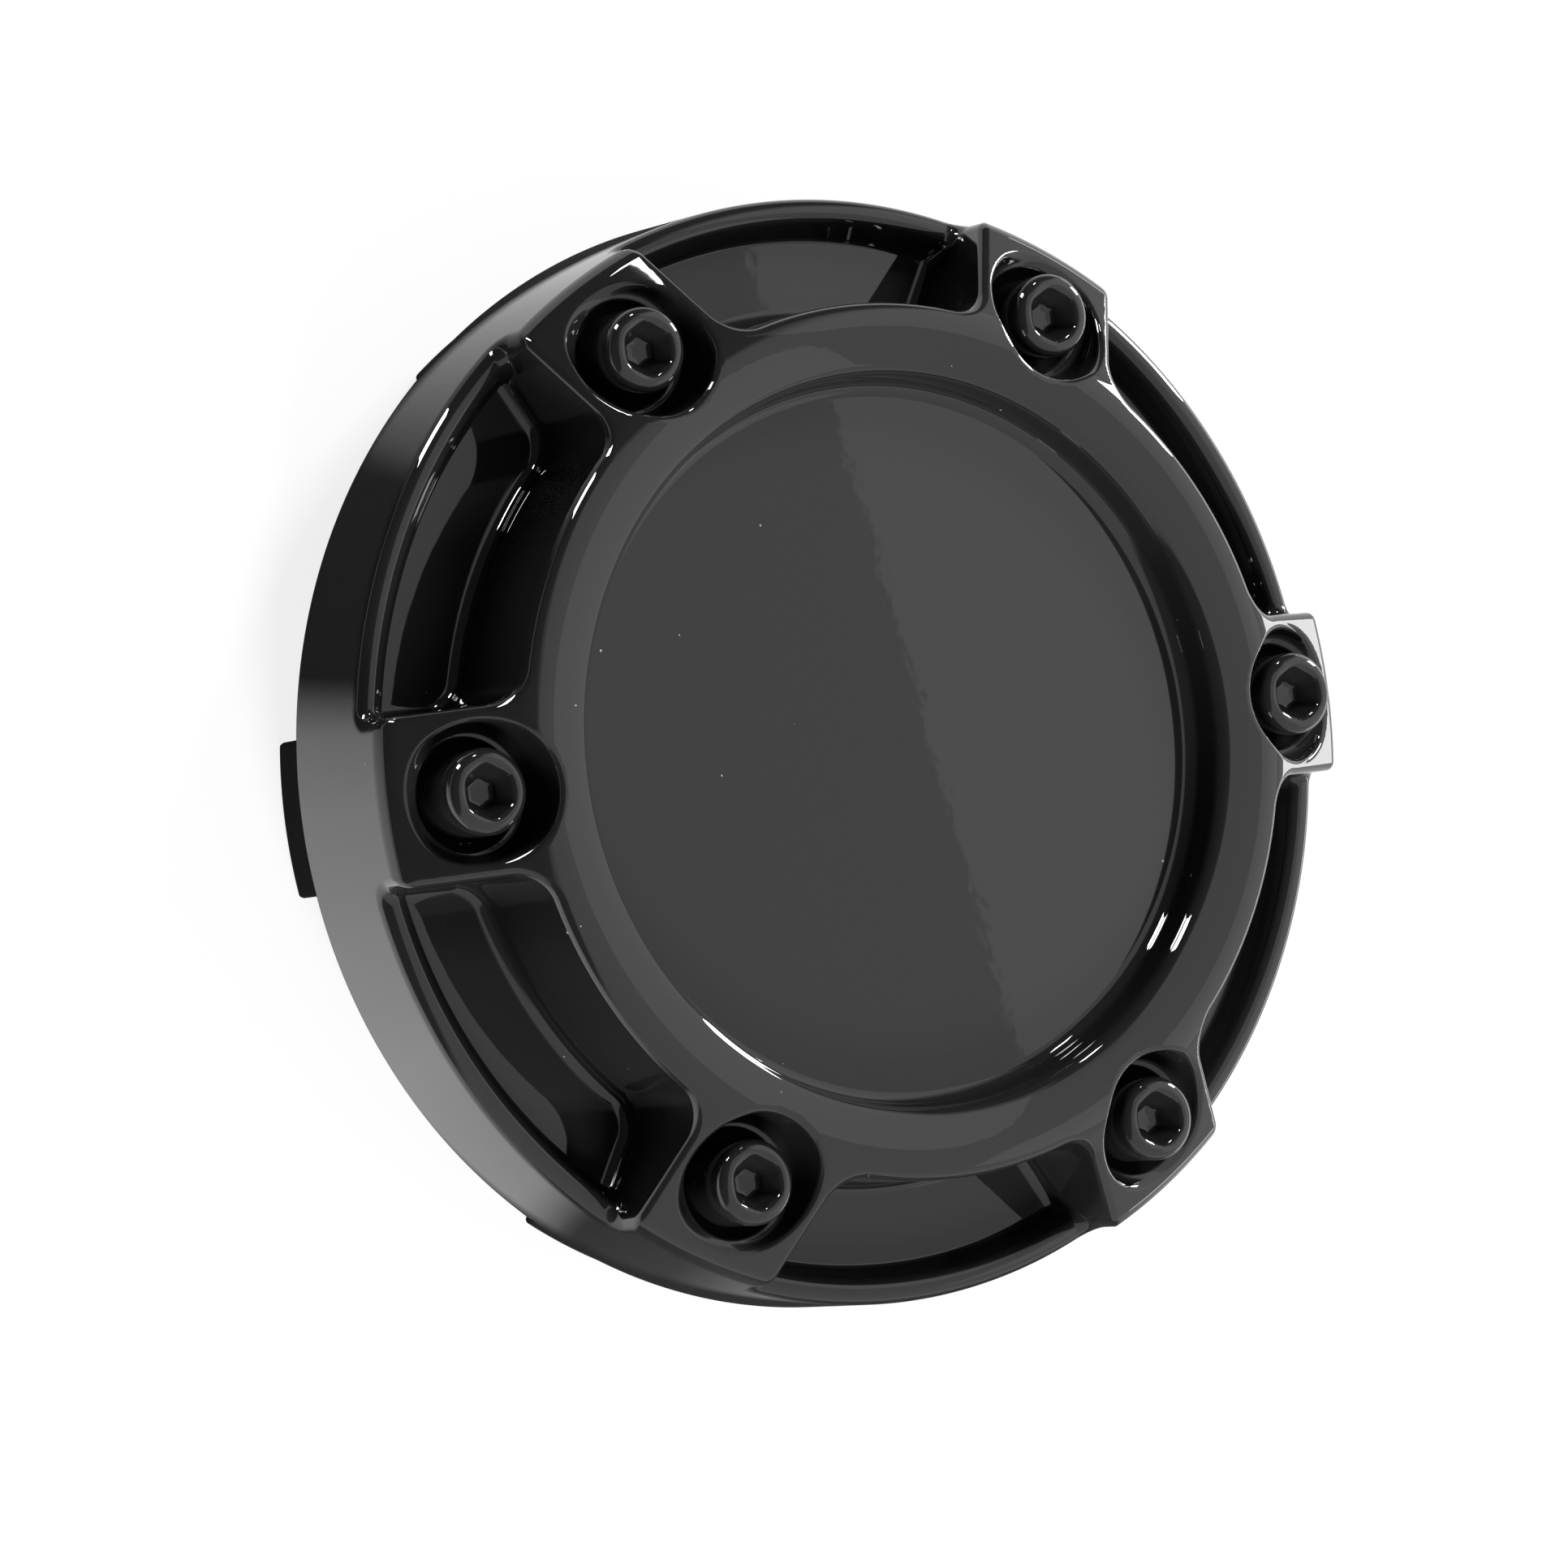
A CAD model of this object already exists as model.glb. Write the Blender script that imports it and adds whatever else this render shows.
import bpy
import math
import numpy as np
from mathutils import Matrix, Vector


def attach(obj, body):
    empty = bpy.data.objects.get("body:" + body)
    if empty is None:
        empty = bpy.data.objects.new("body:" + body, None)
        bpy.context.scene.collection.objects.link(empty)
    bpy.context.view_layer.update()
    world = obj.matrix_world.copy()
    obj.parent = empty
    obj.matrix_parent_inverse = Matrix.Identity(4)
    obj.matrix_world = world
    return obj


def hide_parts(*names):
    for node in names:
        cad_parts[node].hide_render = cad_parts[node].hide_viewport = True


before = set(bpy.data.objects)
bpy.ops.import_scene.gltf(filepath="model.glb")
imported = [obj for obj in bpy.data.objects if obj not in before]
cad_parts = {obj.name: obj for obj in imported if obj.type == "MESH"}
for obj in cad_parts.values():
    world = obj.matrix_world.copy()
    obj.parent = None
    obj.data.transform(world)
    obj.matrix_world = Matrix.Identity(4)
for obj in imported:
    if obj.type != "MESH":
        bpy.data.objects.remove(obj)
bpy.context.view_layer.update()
scene = bpy.context.scene
scene.view_settings.view_transform = "Standard"
print("frame loaded:", list(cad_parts))

mm = 0.001
crestZ = 25.5  # height of the rim crest over the clip tips, the zero of the shape below


# Node maths: operators on a socket add Math nodes.
class Val:
    def __init__(self, tree, socket):
        self.tree, self.socket = tree, socket

    def op(self, kind, other=None, flip=False, clamp=False):
        node = self.tree.nodes.new("ShaderNodeMath")
        node.operation = kind
        node.use_clamp = clamp
        for i, end in enumerate([other, self] if flip else [self, other]):
            if isinstance(end, Val):
                self.tree.links.new(end.socket, node.inputs[i])
            elif end is not None:
                node.inputs[i].default_value = end
        return Val(self.tree, node.outputs[0])

    def __add__(self, o): return self.op("ADD", o)
    def __radd__(self, o): return self.op("ADD", o)
    def __sub__(self, o): return self.op("SUBTRACT", o)
    def __rsub__(self, o): return self.op("SUBTRACT", o, flip=True)
    def __mul__(self, o): return self.op("MULTIPLY", o)
    def __rmul__(self, o): return self.op("MULTIPLY", o)
    def __truediv__(self, o): return self.op("DIVIDE", o)
    def __rtruediv__(self, o): return self.op("DIVIDE", o, flip=True)
    def __pow__(self, o): return self.op("POWER", o)
    def __gt__(self, o): return self.op("GREATER_THAN", o)
    def __lt__(self, o): return self.op("LESS_THAN", o)
    def clip(self): return self.op("ADD", 0.0, clamp=True)
    def max(self, o): return self.op("MAXIMUM", o)


class Nodes:
    def __init__(self, tree):
        self.tree = tree
        tree.nodes.clear()

    def add(self, kind, settings=None, **sockets):
        # settings first, then the values or links of the sockets, by name with _ for a space, or as input_N
        node = self.tree.nodes.new(kind)
        for key, value in (settings or {}).items():
            if key == "stops":
                self.putStops(node.color_ramp, value)
            else:
                setattr(node, key, value)
        for key, value in sockets.items():
            name = key.replace("_", " ")
            spot = next((s for s in node.inputs if s.name == name and s.enabled), None)
            self.put(spot or node.inputs[int(name.split()[-1])], value)
        return node

    def put(self, spot, value):
        if spot.is_multi_input:
            for one in value:
                self.tree.links.new(one, spot)
        elif isinstance(value, Val):
            self.tree.links.new(value.socket, spot)
        elif isinstance(value, bpy.types.NodeSocket):
            self.tree.links.new(value, spot)
        elif isinstance(value, bpy.types.Node):
            self.tree.links.new(value.outputs[0], spot)
        else:
            spot.default_value = value

    def putStops(self, ramp, stops):
        while len(ramp.elements) > 1:
            ramp.elements.remove(ramp.elements[-1])
        for i, (at, level) in enumerate(stops):
            stop = ramp.elements[0] if i == 0 else ramp.elements.new(at)
            stop.position = at
            stop.color = (level, level, level, 1)

    def val(self, node, name=0):
        return Val(self.tree, node.outputs[name])


def nodesOf(owner):
    owner.use_nodes = True
    return Nodes(owner.node_tree)


# The shape of the cap as a field: negative inside the plastic, zero on its surface. Millimetres and degrees,
# for one lug along X. Names with Round, Foot or Fillet are the radii of edges and corners.
shape = {
    "lugs": 6, "shell": 2.4,
    "wallR": 69.2, "wallTaper": 0.0119, "wallStraight": 3, "wallBack": -16.8, "wallRound": 1.7,
    "rimTop": 66.3, "rimLean": 23.3, "rimRound": 0.9,
    "ringR": 54.15, "crown": 15.0, "crownR": 51.6, "crownFrom": 44.0, "crownArc": 18.0, "crownFall": 0.02,
    "seatR": 45.3, "seatZ": 8.3, "seatDraft": 0.1, "seatSlack": 0.6, "seatPlate": 2.5, "seatFillet": 1.6,
    "lipRound": 1.2,
    "lugHalf": 10.3, "lugFrom": 40, "lugSlope": 30.3, "slopeR": 53.15, "slopeZ": 14.9, "slopeRound": 0.9,
    "lugRound": 1.1, "lugCorner": 3.8,
    "floor": -4.1, "rimFoot": 0.4, "foot": 1.7,
    "boltR": 58.65, "boreOuter": 8.4, "boreInner": 6.7, "stepZ": 6.6, "boreZ": 3.6,
    "boreRound": 0.9, "stepRound": 0.4, "stepFoot": 1.6, "boreFoot": 2.2,
    "clipR": 67.6, "clipThick": 2.2, "clipHalf": 9.65, "clipEnd": -25.5, "clipInto": 2, "clipRound": 0.5,
    "tipRound": 0.9, "grooveR": 0.9, "grooveUp": 3.9, "grooveRound": 0.3, "clipFoot": 0.4,
}
# The hollow behind it, with its ribs and collar.
back = {
    "cupGap": 0.1, "coreIn": 0.4, "coreOut": 0.6, "rib": 0.8, "ribDrop": 6.0, "ribAt": 14.5, "ribReach": 0.6,
    "collarR": 25.7, "collarDrop": 3.5,
    "channelRound": 0.8, "seatRound": 0.6, "coreRound": 0.5, "coreFoot": 0.4, "ribFoot": 0.35,
    "hollowRound": 0.35, "edgeRound": 0.4,
}


def joined(a, b, r):
    # two solids as one, with a fillet of radius r in the corner between them
    return np.maximum(r, np.minimum(a, b)) - np.sqrt(np.maximum(r - a, 0) ** 2 + np.maximum(r - b, 0) ** 2)


def common(a, b, r):
    # what two solids share, with the edge rounded by r
    return np.minimum(-r, np.maximum(a, b)) + np.sqrt(np.maximum(r + a, 0) ** 2 + np.maximum(r + b, 0) ** 2)


def ribField(x, y, z, degrees, foot):
    # a rib that stands along a ray from the axis
    q = math.radians(degrees)
    return np.maximum(np.abs(x * math.sin(q) - y * math.cos(q)) - back["rib"], foot - z)


def hollowField(x, y, z, r, bolt, crown):
    c, h = shape, back
    s = c["shell"]
    plate = c["floor"] - s
    cup = np.maximum(bolt - (c["lugHalf"] - h["cupGap"]), c["boreZ"] - s - z)
    channel = common(np.maximum(r - (c["ringR"] - s), (c["seatR"] + s) - r), z - (crown - s), h["channelRound"])
    under = common(r - (c["ringR"] - s), z - (c["seatZ"] - c["seatPlate"]), h["seatRound"])
    apron = common(r - (c["wallR"] - s), z - plate, h["channelRound"])
    core = common(common(y - (c["lugHalf"] - s), z - (c["boreZ"] - s), h["coreRound"]),
                  np.maximum((c["ringR"] + h["coreIn"]) - r, r - (c["wallR"] - s - h["coreOut"])), h["coreRound"])
    hollow = joined(joined(under, channel, h["coreRound"]), apron, h["coreRound"])
    hollow = joined(hollow, core, h["coreFoot"])
    hollow = common(hollow, -cup, h["coreRound"])
    rib = np.maximum(ribField(x, y, z, h["ribAt"], plate - h["ribDrop"]), (c["ringR"] - s + h["ribReach"]) - r)
    seatBack = c["seatZ"] - c["seatPlate"] - h["collarDrop"]
    seatRib = np.maximum(ribField(x, y, z, 180 / c["lugs"], seatBack), h["collarR"] - h["rib"] - r)
    collar = np.maximum(np.abs(r - h["collarR"]) - h["rib"], seatBack - z)
    return common(hollow, -np.minimum(rib, np.minimum(seatRib, collar)), h["ribFoot"])


def capField(x, y, z, wantHollow=False):
    c = shape
    r = np.hypot(x, y)
    y = np.abs(y)
    wall = r - (c["wallR"] - c["wallTaper"] * np.minimum(z, c["wallStraight"]))
    # star outline of ring and lug, under one top where the crown runs into the lug's slope
    star = joined(r - c["ringR"], np.maximum(y - c["lugHalf"], c["lugFrom"] - x), c["lugCorner"])
    rise = np.clip(r, c["crownFrom"], c["crownR"])
    crown = (c["crown"] - (c["crownR"] - rise) ** 2 / (2 * c["crownArc"])
             - c["crownFall"] * np.maximum(r - c["crownR"], 0) ** 2)
    tilt = (c["crownR"] - rise) / c["crownArc"]
    a = math.radians(c["lugSlope"])
    slope = (z - c["slopeZ"]) * math.cos(a) + (r - c["slopeR"]) * math.sin(a)
    top = common((z - crown) / np.sqrt(1 + tilt ** 2), slope, c["slopeRound"])
    boss = common(star, top, c["lugRound"])
    draft = np.clip((z - c["seatZ"]) * c["seatDraft"], 0, c["seatSlack"])
    seatWall = r - (c["seatR"] - c["seatSlack"] + draft)
    boss = common(boss, -common(seatWall, c["seatZ"] - z, c["seatFillet"]), c["lipRound"])
    # pocket floor and the rim's inner slope
    lean = math.radians(c["rimLean"])
    rimIn = -(r - c["rimTop"]) * math.cos(lean) + z * math.sin(lean)
    base = joined(z - c["floor"], common(z, rimIn, c["rimRound"]), c["rimFoot"])
    # the side wall cuts everything last, so it stays one even surface
    solid = common(joined(base, boss, c["foot"]), wall, c["wallRound"])
    # stepped bore
    bolt = np.hypot(x - c["boltR"], y)
    solid = common(solid, -common(bolt - c["boreOuter"], c["stepZ"] - z, c["stepFoot"]), c["boreRound"])
    solid = common(solid, -common(bolt - c["boreInner"], c["boreZ"] - z, c["boreFoot"]), c["stepRound"])
    hollow = hollowField(x, y, z, r, bolt, crown)
    if wantHollow:
        return hollow
    solid = common(common(solid, -hollow, back["hollowRound"]), c["wallBack"] - z, back["edgeRound"])
    # clip leg with its groove
    legIn = c["clipR"] - c["clipThick"]
    leg = common(common(r - c["clipR"], legIn - r, c["clipRound"]), y - c["clipHalf"], c["clipRound"])
    leg = common(leg, c["clipEnd"] - z, c["tipRound"])
    leg = np.maximum(leg, z - (c["floor"] - c["shell"] - c["clipInto"]))
    groove = np.hypot(r - legIn, z - (c["clipEnd"] + c["grooveUp"]))
    leg = common(leg, c["grooveR"] - groove, c["grooveRound"])
    return joined(solid, leg, c["clipFoot"])


def fieldSlope(p, e=0.012):
    g = np.zeros_like(p)
    for k in range(3):
        d = np.zeros(3)
        d[k] = e
        g[:, k] = (capField(*(p + d).T) - capField(*(p - d).T)) / (2 * e)
    return g


def ontoSurface(p, rounds=3, least=0.2):
    for _ in range(rounds):
        g = fieldSlope(p)
        p = p - (capField(*p.T) / np.maximum((g ** 2).sum(1), least))[:, None] * g
    return p


def steps(*runs):
    # grid lines through runs of (start, stop, spacing)
    out = [runs[0][0]]
    for start, stop, size in runs:
        n = max(1, round((stop - start) / size))
        out += [start + (stop - start) * (i + 1) / n for i in range(n)]
    return np.array(out)


def surfaceNet(rs, ts, zs):
    # one vertex in each cell that the surface crosses, and one quad across each grid edge that it crosses
    r, t, z = np.meshgrid(rs, np.radians(ts), zs, indexing="ij")
    f = capField(r * np.cos(t), r * np.sin(t), z)
    grid = np.stack([r, t, z], -1)
    total = np.zeros([n - 1 for n in f.shape] + [3])
    count = np.zeros([n - 1 for n in f.shape])
    whole = slice(None)
    for axis in range(3):
        low, high = [whole] * 3, [whole] * 3
        low[axis], high[axis] = slice(0, -1), slice(1, None)
        fa, fb = f[tuple(low)], f[tuple(high)]
        cross = (fa < 0) != (fb < 0)
        at = np.where(cross, fa / np.where(cross, fa - fb, 1), 0)[..., None]
        point = grid[tuple(low)] * (1 - at) + grid[tuple(high)] * at
        o1, o2 = [k for k in range(3) if k != axis]
        for d1 in (0, 1):
            for d2 in (0, 1):
                s = [whole] * 3
                s[o1] = slice(d1, d1 + f.shape[o1] - 1)
                s[o2] = slice(d2, d2 + f.shape[o2] - 1)
                total += point[tuple(s)] * cross[tuple(s)][..., None]
                count += cross[tuple(s)]
    live = count > 0
    ids = np.full(live.shape, -1)
    ids[live] = np.arange(live.sum())
    verts = total[live] / count[live][:, None]
    inside = f < 0
    quads = []
    for axis, (o1, o2) in enumerate([(1, 2), (2, 0), (0, 1)]):
        low, high = [slice(1, -1)] * 3, [slice(1, -1)] * 3
        low[axis], high[axis] = slice(0, -1), slice(1, None)
        fa, fb = inside[tuple(low)], inside[tuple(high)]
        cell = np.argwhere(fa != fb)
        outward = fa[fa != fb]
        cell[:, [o1, o2]] += 1
        corner = []
        for d1, d2 in ((1, 1), (0, 1), (0, 0), (1, 0)):
            c = cell.copy()
            c[:, o1] -= d1
            c[:, o2] -= d2
            corner.append(ids[c[:, 0], c[:, 1], c[:, 2]])
        quad = np.stack(corner, 1)
        quad[~outward] = quad[~outward][:, ::-1]
        quads.append(quad)
    return verts, np.concatenate(quads)


def meshFrom(name, verts, faces):
    mesh = bpy.data.meshes.new(name)
    mesh.from_pydata([tuple(v) for v in verts], [], [tuple(int(i) for i in f) for f in faces])
    mesh.validate()
    mesh.update()
    return mesh


def newObject(name, data):
    obj = bpy.data.objects.new(name, data)
    scene.collection.objects.link(obj)
    return obj


def coordsOf(mesh):
    v = np.empty(len(mesh.vertices) * 3)
    mesh.vertices.foreach_get("co", v)
    return v.reshape(-1, 3)


def putCoords(mesh, v):
    mesh.vertices.foreach_set("co", np.ascontiguousarray(v, dtype=np.float32).ravel())
    mesh.update()


def evaluated(obj, name):
    # the modifiers' result as a plain object of its own
    graph = bpy.context.evaluated_depsgraph_get()
    mesh = bpy.data.meshes.new_from_object(obj.evaluated_get(graph))
    mesh.name = name
    done = newObject(name, mesh)
    old = obj.data
    bpy.data.objects.remove(obj)
    if old.users == 0:
        bpy.data.meshes.remove(old)
    return done


# Paint. A deep, glossy black, with faint orange peel and settled dust.
paint = {
    "black": (0.0088, 0.0088, 0.0090, 1), "dust": (0.32, 0.31, 0.30, 1), "gloss": 0.02, "dull": 0.45, "ior": 1.54,
    "peel": 0.018, "peelDeep": 0.0004, "peelScale": 430.0, "peelShare": 0.4, "swellScale": 90.0, "swellShare": 0.6,
    "specks": 900.0, "speckSmall": 0.05, "speckMore": 0.11, "speckTint": 0.75,
    "driftScale": 38.0, "driftFrom": 0.40, "driftMost": 0.10,
}


def makePaint():
    c = paint
    mat = bpy.data.materials.new("glossBlackPaint")
    s = nodesOf(mat)
    where = s.add("ShaderNodeTexCoord").outputs["Object"]
    peel = s.val(s.add("ShaderNodeTexNoise", Vector=where, Scale=c["peelScale"], Detail=1.0, Roughness=0.4))
    swell = s.val(s.add("ShaderNodeTexNoise", Vector=where, Scale=c["swellScale"], Detail=1.0))
    # dust: small cells, of which a few hold a speck, more of them where it has drifted
    cells = s.add("ShaderNodeTexVoronoi", {"feature": "F1"}, Vector=where, Scale=c["specks"])
    drift = s.val(s.add("ShaderNodeTexNoise", Vector=where, Scale=c["driftScale"], Detail=3.0))
    lot = s.add("ShaderNodeSeparateColor", Color=cells.outputs["Color"])
    chosen = s.val(lot, 0) > (1.0 - (drift - c["driftFrom"]).clip() * c["driftMost"])
    size = c["speckSmall"] + c["speckMore"] * s.val(lot, 1)
    speck = chosen * (s.val(cells, "Distance") < size)
    colour = s.add("ShaderNodeMix", {"data_type": "RGBA"}, Factor=speck * c["speckTint"], A=c["black"], B=c["dust"])
    relief = peel * c["peelShare"] + swell * c["swellShare"]
    bump = s.add("ShaderNodeBump", Strength=c["peel"], Distance=c["peelDeep"], Height=relief)
    shader = s.add("ShaderNodeBsdfPrincipled", Base_Color=colour.outputs["Result"],
                   Roughness=c["gloss"] + c["dull"] * speck, IOR=c["ior"], Normal=bump)
    s.add("ShaderNodeOutputMaterial", Surface=shader)
    return mat


blackPaint = makePaint()
print("paint made")


# Geometry Nodes: one piece turned round the axis, mirrored first where it is half of a sector.
def turnedTree(name, mirror):
    tree = bpy.data.node_groups.new(name, "GeometryNodeTree")
    for title, kind in (("Geometry", "Geometry"), ("Count", "Int"), ("Radius", "Float"), ("Weld", "Float"),
                        ("Material", "Material")):
        tree.interface.new_socket(title, in_out="INPUT", socket_type="NodeSocket" + kind)
    tree.interface.new_socket("Geometry", in_out="OUTPUT", socket_type="NodeSocketGeometry")
    g = Nodes(tree)
    start = g.add("NodeGroupInput")
    count, radius = g.val(start, "Count"), g.val(start, "Radius")
    piece = start.outputs["Geometry"]
    if mirror:
        other = g.add("GeometryNodeTransform", Geometry=piece, Scale=(1, -1, 1))
        outward = g.add("GeometryNodeFlipFaces", Mesh=other)
        piece = g.add("GeometryNodeJoinGeometry", Geometry=[outward.outputs[0], piece]).outputs[0]
    angle = g.val(g.add("GeometryNodeInputIndex")) * (2 * math.pi / count)
    place = g.add("ShaderNodeCombineXYZ", X=angle.op("COSINE") * radius, Y=angle.op("SINE") * radius)
    points = g.add("GeometryNodePoints", Count=count, Position=place)
    spin = g.add("ShaderNodeCombineXYZ", Z=angle)
    copies = g.add("GeometryNodeInstanceOnPoints", Points=points, Instance=piece, Rotation=spin)
    real = g.add("GeometryNodeRealizeInstances", Geometry=copies)
    weld = g.add("GeometryNodeMergeByDistance", Geometry=real, Distance=start.outputs["Weld"])
    dress = g.add("GeometryNodeSetMaterial", Geometry=weld, Material=start.outputs["Material"])
    g.add("NodeGroupOutput", Geometry=dress)
    return tree


def turnedRound(obj, name, tree, **inputs):
    mod = obj.modifiers.new("around", "NODES")
    mod.node_group = tree
    for item in tree.interface.items_tree:
        if item.in_out == "INPUT" and item.name in inputs:
            mod[item.identifier] = inputs[item.name]
    return evaluated(obj, name)


# Skin of the cap: grid lines by radius, angle and height, as runs of (start, stop, spacing) in millimetres and
# degrees, and what is thinned, snapped onto the sector's edges and welded, in metres.
skin = {
    "radius": ((0, 1.5, 1.5), (1.5, 22.5, 3), (22.5, 28.5, 0.75), (28.5, 42.5, 3.5), (42.5, 46.9, 0.22),
               (46.9, 50, 0.5), (50, 58.5, 0.3), (58.5, 63.9, 0.4), (63.9, 69.9, 0.26)),
    "angle": ((-0.15, 14.85, 0.3), (14.85, 17, 0.4), (17, 29.25, 1.1), (29.25, 30.75, 1.5)),
    "height": ((-26, -24, 0.4), (-24, -19, 0.7), (-19, -16, 0.4), (-16, -7.4, 1.4), (-7.4, 0.6, 0.3),
               (0.6, 6, 0.5), (6, 15.6, 0.3)),
    "axis": 1.5, "onEdge": 0.001, "triangles": 272000, "snap": 2e-6, "weld": 4e-6,
}


def makeShell():
    c = skin
    edge = math.pi / shape["lugs"]
    verts, quads = surfaceNet(*[steps(*c[k]) for k in ("radius", "angle", "height")])
    onAxis = verts[:, 0] < c["axis"]
    edgeA, edgeB = np.abs(verts[:, 1]) < c["onEdge"], np.abs(verts[:, 1] - edge) < c["onEdge"]
    p = np.stack([verts[:, 0] * np.cos(verts[:, 1]), verts[:, 0] * np.sin(verts[:, 1]), verts[:, 2]], 1)
    p = ontoSurface(p)
    p[onAxis, :2] = 0
    p[edgeA, 1] = 0
    along = p[edgeB, 0] * math.cos(edge) + p[edgeB, 1] * math.sin(edge)
    p[edgeB, 0], p[edgeB, 1] = along * math.cos(edge), along * math.sin(edge)
    half = newObject("halfSector", meshFrom("halfSector", p * mm + [0, 0, crestZ * mm], quads))
    thin = half.modifiers.new("thin", "DECIMATE")
    thin.ratio = min(1.0, c["triangles"] / (2 * shape["lugs"]) / (2 * len(quads)))
    thin.use_collapse_triangulate = True
    half = evaluated(half, "halfSectorThin")
    print("half sector:", len(quads), "quads, thinned to", len(half.data.polygons), "triangles")
    v = coordsOf(half.data)
    v[np.abs(v[:, 1]) < c["snap"], 1] = 0
    off = v[:, 0] * math.sin(edge) - v[:, 1] * math.cos(edge)
    skew = np.abs(off) < c["snap"]
    v[skew, 0] -= off[skew] * math.sin(edge)
    v[skew, 1] += off[skew] * math.cos(edge)
    putCoords(half.data, v)
    return turnedRound(half, "capShell", turnedTree("sectorRound", True), Count=shape["lugs"], Radius=0.0,
                       Weld=c["weld"], Material=blackPaint)


def folded(v):
    # the whole cap's points folded into one sector, with the turn that takes them back
    p = v / mm - [0, 0, crestZ]
    pitch = 2 * math.pi / shape["lugs"]
    turn = np.round(np.arctan2(p[:, 1], p[:, 0]) / pitch) * pitch
    cs, sn = np.cos(turn), np.sin(turn)
    q = np.stack([p[:, 0] * cs + p[:, 1] * sn, -p[:, 0] * sn + p[:, 1] * cs, p[:, 2]], 1)
    return q, cs, sn


def smoothNormals(obj):
    q, cs, sn = folded(coordsOf(obj.data))
    g = fieldSlope(q)
    g /= np.maximum(np.linalg.norm(g, axis=1), 1e-9)[:, None]
    n = np.stack([g[:, 0] * cs - g[:, 1] * sn, g[:, 0] * sn + g[:, 1] * cs, g[:, 2]], 1)
    obj.data.polygons.foreach_set("use_smooth", [True] * len(obj.data.polygons))
    obj.data.normals_split_custom_set_from_vertices([tuple(k) for k in n])


# Where the hollow side parts from the face, in millimetres. It is a piece of its own, to keep each one light.
split = {"near": 0.45, "insideR": 67.6, "wallEdge": 0.5, "legSlack": 0.1, "legBelow": -7.5}


def splitBack(obj):
    c = split
    mesh = obj.data
    v = coordsOf(mesh)
    tri = np.empty(len(mesh.polygons) * 3, int)
    mesh.loops.foreach_get("vertex_index", tri)
    tri = tri.reshape(-1, 3)
    q, _, _ = folded(v[tri].mean(1))
    hollow = np.abs(capField(*q.T, wantHollow=True)) < c["near"]
    r = np.hypot(q[:, 0], q[:, 1])
    hidden = ((hollow & (r < c["insideR"])) | (q[:, 2] < shape["wallBack"] + c["wallEdge"])
              | ((r < shape["clipR"] + c["legSlack"]) & (q[:, 2] < c["legBelow"])))
    pieces = []
    for name, keep in (("capFace", ~hidden), ("capBack", hidden)):
        used = np.unique(tri[keep])
        order = np.full(len(v), -1)
        order[used] = np.arange(len(used))
        piece = newObject(name, meshFrom(name, v[used], order[tri[keep]]))
        piece.data.materials.append(blackPaint)
        smoothNormals(piece)
        pieces.append(piece)
        print(name, len(piece.data.polygons), "triangles")
    bpy.data.objects.remove(obj)
    return pieces


capPieces = splitBack(makeShell())

# Dummy bolt: a head with a rounded shoulder and a tapered hexagon socket, in millimetres over the rim crest.
bolt = {
    "headR": 5.25, "base": 3.3, "top": 12.85, "shoulder": 1.4, "mouth": 5.8, "floor": 3.8, "depth": 3.3,
    "mouthRound": 0.9, "floorRound": 0.75, "cornerFrom": 1.06, "cornerCut": 0.6,
    "dish": 0.02, "dishShare": 0.4, "around": 96, "weld": 1e-6, "sharp": 42,
}


def arc(start, stop, count):
    return [math.radians(start + (stop - start) * i / count) for i in range(count + 1)]


def makeBolts():
    c = bolt
    n = c["around"]
    turn = np.arange(n) * 2 * math.pi / n
    # a hexagon of width 1, with its corners cut back
    unit = 1 / np.cos((turn + math.pi / 6) % (math.pi / 3) - math.pi / 6)
    unit = (unit - np.maximum(unit - c["cornerFrom"], 0) * c["cornerCut"]) / 2
    mouth, floor, circle = c["mouth"] * unit, c["floor"] * unit, np.ones(n)
    crest, low = c["headR"] - c["shoulder"], c["top"] - c["depth"]
    loops = [(c["headR"] * circle, c["base"])]
    for a in arc(0, 90, 10):
        loops.append(((crest + c["shoulder"] * math.cos(a)) * circle, c["top"] - c["shoulder"] * (1 - math.sin(a))))
    for a in arc(8, 72, 8):
        loops.append((mouth + (crest - mouth) * (1 - math.sin(a)), c["top"] - c["mouthRound"] * (1 - math.cos(a))))
    for a in arc(20, 89.6, 6):
        loops.append((floor - c["floorRound"] * (1 - math.cos(a)), low + c["floorRound"] * (1 - math.sin(a))))
    loops.append((floor * c["dishShare"], low - c["dish"]))
    verts, faces = [], []
    for radius, z in loops:
        for k in range(n):
            verts.append((radius[k] * math.cos(turn[k]) * mm, radius[k] * math.sin(turn[k]) * mm, (z + crestZ) * mm))
    for i in range(len(loops) - 1):
        for k in range(n):
            k2 = (k + 1) % n
            faces.append((i * n + k, i * n + k2, (i + 1) * n + k2, (i + 1) * n + k))
    verts.append((0, 0, (low - 1.5 * c["dish"] + crestZ) * mm))
    last = (len(loops) - 1) * n
    for k in range(n):
        faces.append((last + k, last + (k + 1) % n, len(verts) - 1))
    one = newObject("boltOne", meshFrom("boltMesh", verts, faces))
    bolts = turnedRound(one, "dummyBolts", turnedTree("boltsRound", False), Count=shape["lugs"],
                        Radius=shape["boltR"] * mm, Weld=c["weld"], Material=blackPaint)
    bolts.data.polygons.foreach_set("use_smooth", [True] * len(bolts.data.polygons))
    bolts.data.set_sharp_from_angle(angle=math.radians(c["sharp"]))
    print("dummy bolts", len(bolts.data.polygons), "faces")
    return bolts


for piece in capPieces + [makeBolts()]:
    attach(piece, "root")
    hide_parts("cap")

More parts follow.
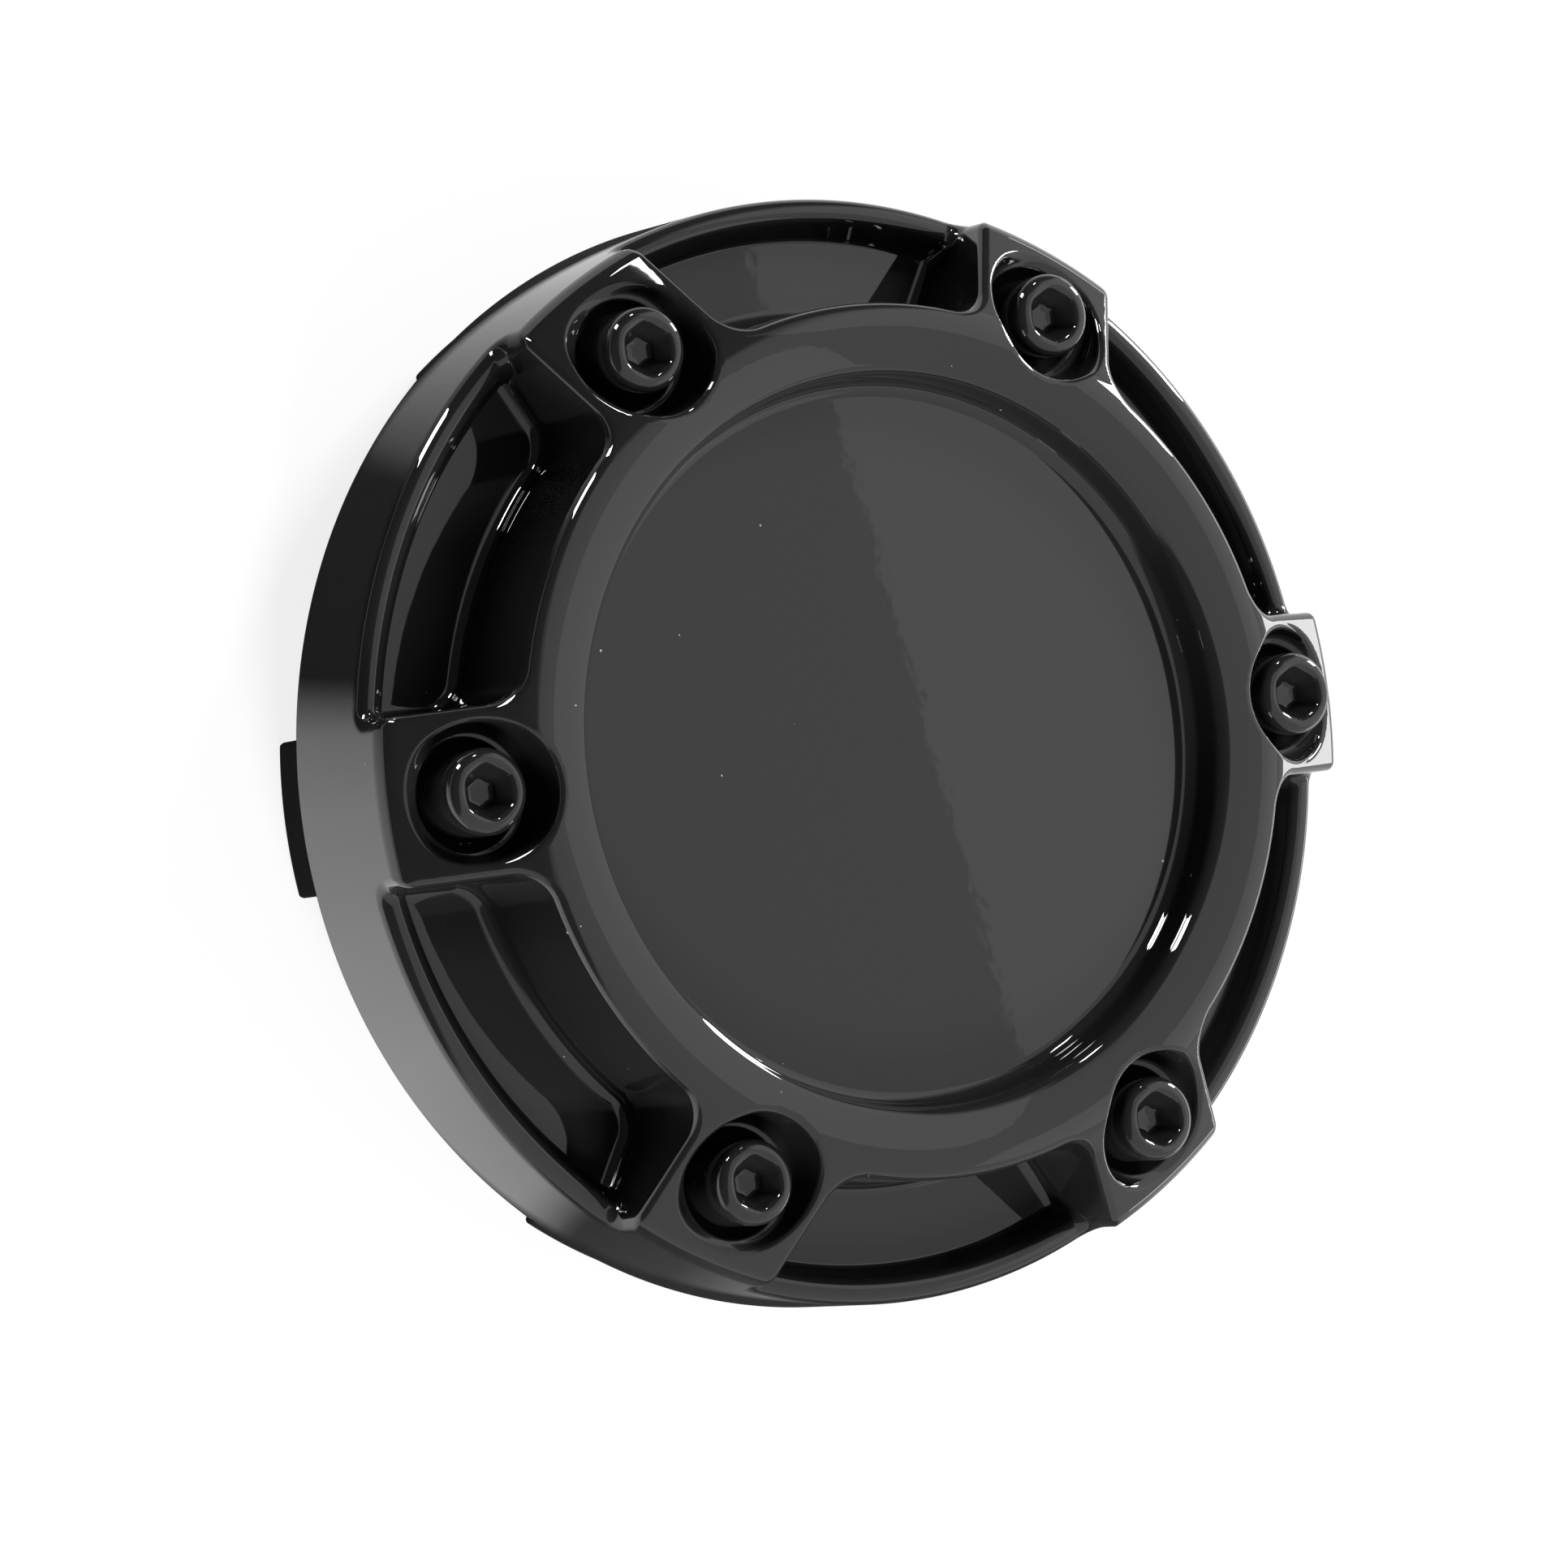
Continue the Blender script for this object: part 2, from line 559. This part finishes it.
# Stage: a pale floor, which the camera sees white, and which still takes the lamps' light and the cap's shadow.
# In the paint it shows as pale and dark cards lying round the cap, with shade close under the wall. The cards'
# stops are (azimuth, level), from -180 to 180 degrees, and the radii are in metres.
stageSet = {
    "floorSize": 12.0, "floor": (0.86, 0.86, 0.86, 1), "glow": 0.84,
    "cardR": 0.30, "cardSoft": 0.03, "shadeR": 0.0735, "shadeSoft": 0.0012, "shade": 0.04,
    "cards": ((-180, 1.5), (-165, 1.8), (-150, 1.8), (-130, 1.1), (-123, 0.08), (-110, 0.1), (-98, 0.3),
              (-90, 0.1), (-58, 0.1), (-43, 1.0), (106, 1.0), (124, 0.62), (131, 0.46), (136, 0.3),
              (140, 0.05), (165, 0.05), (171, 1.1), (180, 1.5)),
    "beyond": ((-180, 0.9), (40, 0.9), (50, 0.08), (126, 0.08), (145, 0.9), (180, 0.9)),
}


def makeFloor():
    c = stageSet
    h = c["floorSize"] / 2
    floor = newObject("floor", meshFrom("floor", [(-h, -h, 0), (h, -h, 0), (h, h, 0), (-h, h, 0)], [(0, 1, 2, 3)]))
    mat = bpy.data.materials.new("paleFloor")
    s = nodesOf(mat)
    parts = s.add("ShaderNodeSeparateXYZ", Vector=s.add("ShaderNodeTexCoord").outputs["Object"])
    x, y = s.val(parts, 0), s.val(parts, 1)
    reach = (x * x + y * y) ** 0.5
    azimuth = y.op("ARCTAN2", x) / (2 * math.pi) + 0.5

    def ramp(name):
        stops = [((az + 180) / 360, level) for az, level in c[name]]
        return s.val(s.add("ShaderNodeValToRGB", {"stops": stops}, Fac=azimuth))

    close = ((c["cardR"] - reach) / c["cardSoft"]).clip()
    under = ((c["shadeR"] - reach) / c["shadeSoft"]).clip()
    level = ramp("cards") * close + ramp("beyond") * (1.0 - close)
    level = level * (1.0 - under) + under * c["shade"]
    path = s.add("ShaderNodeLightPath")
    camera = s.val(path, "Is Camera Ray")
    mirrored = s.val(path, "Is Glossy Ray").max(s.val(path, "Is Transmission Ray")) * (1.0 - camera)
    matte = s.add("ShaderNodeBsdfDiffuse", Color=c["floor"])
    glow = s.add("ShaderNodeEmission", Color=camera + (1.0 - camera) * level, Strength=1.0)
    mix = s.add("ShaderNodeMixShader", Fac=camera * c["glow"] + mirrored, input_1=matte, input_2=glow)
    s.add("ShaderNodeOutputMaterial", Surface=mix)
    floor.data.materials.append(mat)


makeFloor()
print("floor laid")

# Lamps by azimuth and elevation in degrees, with their distance and size in metres. The strips and the
# spot are seen only as highlights, and the two fills only light.
lights = {
    "panel": {"toward": (10, 37.6), "far": 1.2, "size": (2.0, 0.91), "watts": 2.3},
    "stripRight": {"toward": (24, 11), "far": 1.0, "size": (0.13, 0.38), "watts": 9.0, "lights": False},
    "stripLeft": {"toward": (121, 8), "far": 1.0, "size": (0.15, 0.44), "watts": 15.0, "lights": False},
    "spotBack": {"toward": (82, 27), "far": 1.0, "size": (0.08, 0.10), "watts": 1.8, "lights": False},
    "low": {"toward": (0, -3.2), "far": 0.30, "size": (0.55, 0.026), "watts": 0.22},
    "fillLeft": {"toward": (-97, 32), "far": 1.5, "size": (0.5, 0.5), "watts": 34.0, "mirrored": False},
    "fillRight": {"toward": (48, 30), "far": 1.5, "size": (0.5, 0.5), "watts": 34.0, "mirrored": False},
}
lampsAim = (0, 0, 0.03)  # the middle of the cap, which every lamp faces


def makeLights():
    for name, c in lights.items():
        lamp = bpy.data.lights.new(name, "AREA")
        lamp.shape = "RECTANGLE"
        lamp.size, lamp.size_y = c["size"]
        lamp.energy = c["watts"]
        obj = newObject(name, lamp)
        az, el = [math.radians(v) for v in c["toward"]]
        way = (math.cos(el) * math.cos(az), math.cos(el) * math.sin(az), math.sin(el))
        obj.location = [m + w * c["far"] for m, w in zip(lampsAim, way)]
        obj.rotation_euler = (Vector(lampsAim) - obj.location).to_track_quat("-Z", "Y").to_euler()
        obj.visible_glossy = c.get("mirrored", True)
        obj.visible_diffuse = c.get("lights", True)
        obj.visible_camera = False


makeLights()

# Surround: pale all round, darker on the side of the room behind the camera, with a pale ceiling. Azimuths
# in degrees, and the ceiling's edge as the height of a direction of length 1.
studio = {
    "pale": 0.80, "dark": 0.09, "darkFrom": 47, "darkTo": 224, "sideSoft": 0.14, "sideShift": 0.4,
    "ceiling": 0.87, "ceilingTo": 97, "ceilingSoft": 0.03,
}


def makeWorld():
    c = studio
    scene.world = bpy.data.worlds.new("studio")
    s = nodesOf(scene.world)
    parts = s.add("ShaderNodeSeparateXYZ", Vector=s.add("ShaderNodeTexCoord").outputs["Generated"])
    x, y, z = [s.val(parts, k) for k in range(3)]

    def beyond(azimuth, sign):
        # 1 on one side of the upright plane at that azimuth, 0 on the other, with a soft border
        a = math.radians(azimuth)
        return (((y * math.cos(a) - x * math.sin(a)) * sign) / c["sideSoft"] + c["sideShift"]).clip()

    darkSide = beyond(c["darkFrom"], 1) * beyond(c["darkTo"], -1)
    ceiling = ((z - c["ceiling"]) / c["ceilingSoft"]).clip() * beyond(c["ceilingTo"], -1)
    level = c["pale"] - darkSide * (1.0 - ceiling) * (c["pale"] - c["dark"])
    seen = s.val(s.add("ShaderNodeLightPath"), "Is Camera Ray")
    room = s.add("ShaderNodeBackground", Color=level, Strength=1.0)
    white = s.add("ShaderNodeBackground", Color=(1, 1, 1, 1), Strength=1.0)
    s.add("ShaderNodeOutputWorld", Surface=s.add("ShaderNodeMixShader", Fac=seen, input_1=room, input_2=white))


makeWorld()
print("studio lit")

# Camera, at the photograph's place, turn and field of view: metres, degrees and millimetres.
lens = {"at": (-0.424671, -0.012085, 0.728860), "turn": (4.9672, -30.0970, -8.6156), "focal": 151.284, "sensor": 36}


def makeCamera():
    c = lens
    cam = bpy.data.cameras.new("photoView")
    cam.lens = c["focal"]
    cam.sensor_width = c["sensor"]
    cam.sensor_fit = "HORIZONTAL"
    obj = newObject("photoView", cam)
    obj.location = c["at"]
    obj.rotation_euler = [math.radians(v) for v in c["turn"]]
    scene.camera = obj


makeCamera()
